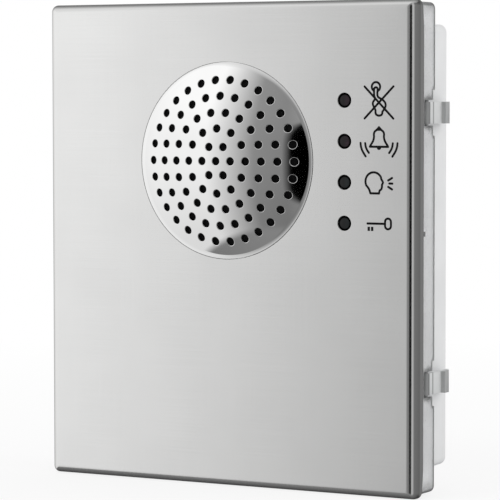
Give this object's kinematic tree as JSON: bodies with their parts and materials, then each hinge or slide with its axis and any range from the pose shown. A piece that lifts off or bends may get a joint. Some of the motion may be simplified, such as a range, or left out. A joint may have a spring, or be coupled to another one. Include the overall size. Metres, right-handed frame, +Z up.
{
  "type": "door intercom module",
  "caption": "Flush door intercom module with a brushed steel plate, a perforated speaker dome, indicator windows, side latches and a boxed rear housing.",
  "frame": {"origin": "centre of the rear housing's back face", "axes": "+X to the right as seen from the street, +Y into the wall, +Z up"},
  "size_m": [0.108, 0.031, 0.1234],
  "materials": {
    "brushed_plate": "brushed, satin",
    "polished_dome": "mirror polished",
    "smoked_window": "glossy, tinted almost black",
    "clear_moulding": "clear, slightly frosted moulding",
    "white_moulding": "fine matt moulding",
    "latch_moulding": "smooth moulding",
    "plated_fastener": "zinc plated",
    "black_foam": "closed-cell foam",
    "black_fleece": "felted fibres",
    "black_rubber": "matt rubber",
    "green_board": "solder mask over fibre laminate",
    "speaker_steel": "pressed sheet",
    "magnet_grey": "sintered, plated",
    "speaker_paper": "pressed paper",
    "coil_copper": "enamelled wire",
    "clear_guide": "clear, polished",
    "led_lens": "cast resin",
    "terminal_green": "smooth moulding",
    "black_moulding": "smooth moulding",
    "can_aluminium": "drawn can",
    "trimmer_blue": "smooth moulding",
    "trimmer_white": "smooth moulding",
    "lead_grey": "soft sheath"
  },
  "bodies": {
    "module": {"front_cover": "brushed_plate", "speaker_grille": "polished_dome", "grille_fleece": "black_fleece", "cover_nuts": "plated_fastener", "cover_gasket": "black_foam", "carrier_frame": "clear_moulding", "rear_housing": "white_moulding", "case_screws": "plated_fastener", "circuit_board": "green_board", "speaker_basket": "speaker_steel", "speaker_yoke": "speaker_steel", "speaker_magnet": "magnet_grey", "speaker_pole_plate": "speaker_steel", "speaker_surround": "black_rubber", "speaker_seal": "black_foam", "speaker_clamp": "black_moulding", "clamp_screws": "plated_fastener", "microphone_boot": "black_rubber", "microphone_capsule": "can_aluminium", "light_guide": "clear_guide", "status_leds": "led_lens", "terminal_block": "terminal_green", "terminal_screws": "plated_fastener", "bus_header": "black_moulding", "capacitors": "can_aluminium", "amplifier_chip": "black_moulding", "controller_chip": "black_moulding", "speaker_lead": "lead_grey", "microphone_lead": "lead_grey", "lamp_lens_1": "smoked_window", "lamp_lens_2": "smoked_window", "lamp_lens_3": "smoked_window", "lamp_lens_4": "smoked_window", "speaker_trimmer_body": "trimmer_blue", "microphone_trimmer_body": "trimmer_blue"},
    "speaker_diaphragm": {"speaker_cone": "speaker_paper", "voice_coil": "coil_copper"},
    "latch_upper_right": {"latch_upper_right": "latch_moulding"},
    "latch_lower_right": {"latch_lower_right": "latch_moulding"},
    "latch_upper_left": {"latch_upper_left": "latch_moulding"},
    "latch_lower_left": {"latch_lower_left": "latch_moulding"},
    "speaker_trimmer_rotor": {"speaker_trimmer_rotor": "trimmer_white"},
    "microphone_trimmer_rotor": {"microphone_trimmer_rotor": "trimmer_white"}
  },
  "joints": [
    {"name": "diaphragm_stroke", "type": "slide", "parent": "module", "child": "speaker_diaphragm", "axis": [0, 1, 0], "range_m": [-0.0005, 0.0005], "stiffness_N_per_m": 1000},
    {"name": "latch_upper_right_flex", "type": "hinge", "parent": "module", "child": "latch_upper_right", "pos_m": [0.05205, -0.0168, 0.0337], "axis": [0, 0, 1], "range_deg": [0, 5], "stiffness_Nm_per_rad": 0.6},
    {"name": "latch_lower_right_flex", "type": "hinge", "parent": "module", "child": "latch_lower_right", "pos_m": [0.05205, -0.0168, -0.0337], "axis": [0, 0, 1], "range_deg": [0, 5], "stiffness_Nm_per_rad": 0.6},
    {"name": "latch_upper_left_flex", "type": "hinge", "parent": "module", "child": "latch_upper_left", "pos_m": [-0.05205, -0.0168, 0.0337], "axis": [0, 0, -1], "range_deg": [0, 5], "stiffness_Nm_per_rad": 0.6},
    {"name": "latch_lower_left_flex", "type": "hinge", "parent": "module", "child": "latch_lower_left", "pos_m": [-0.05205, -0.0168, -0.0337], "axis": [0, 0, -1], "range_deg": [0, 5], "stiffness_Nm_per_rad": 0.6},
    {"name": "speaker_trimmer_turn", "type": "hinge", "parent": "module", "child": "speaker_trimmer_rotor", "pos_m": [-0.014, -0.0052, 0.016], "axis": [0, 1, 0], "range_deg": [-135, 135]},
    {"name": "microphone_trimmer_turn", "type": "hinge", "parent": "module", "child": "microphone_trimmer_rotor", "pos_m": [0.014, -0.0052, 0.016], "axis": [0, 1, 0], "range_deg": [-135, 135]}
  ]
}
